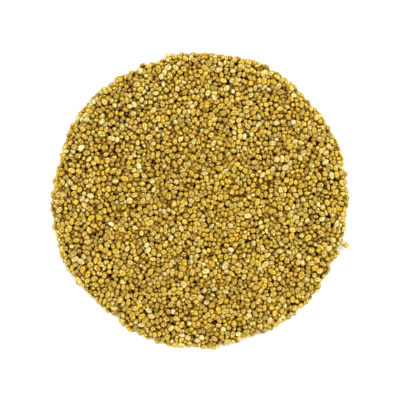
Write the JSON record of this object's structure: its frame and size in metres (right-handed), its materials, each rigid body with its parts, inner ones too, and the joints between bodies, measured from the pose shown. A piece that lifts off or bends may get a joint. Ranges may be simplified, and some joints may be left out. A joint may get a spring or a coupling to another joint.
{
  "type": "round heap of foxtail millet grains",
  "caption": "Low round heap of hulled foxtail millet, levelled on top with a sloping grainy edge, and one stray grain lying just outside it.",
  "frame": {"origin": "middle of the bounding box of heap and stray grain, on the surface that the heap lies on", "axes": "+Z up out of the heap's top, its shortest extent; +X to the right and +Y up in the view from above, with the stray grain on the +X side"},
  "size_m": [0.0948, 0.095, 0.0052],
  "materials": {
    "millet_grain": "satin"
  },
  "bodies": {
    "root": {"millet_heap": "millet_grain", "stray_grain": "millet_grain"}
  },
  "joints": []
}
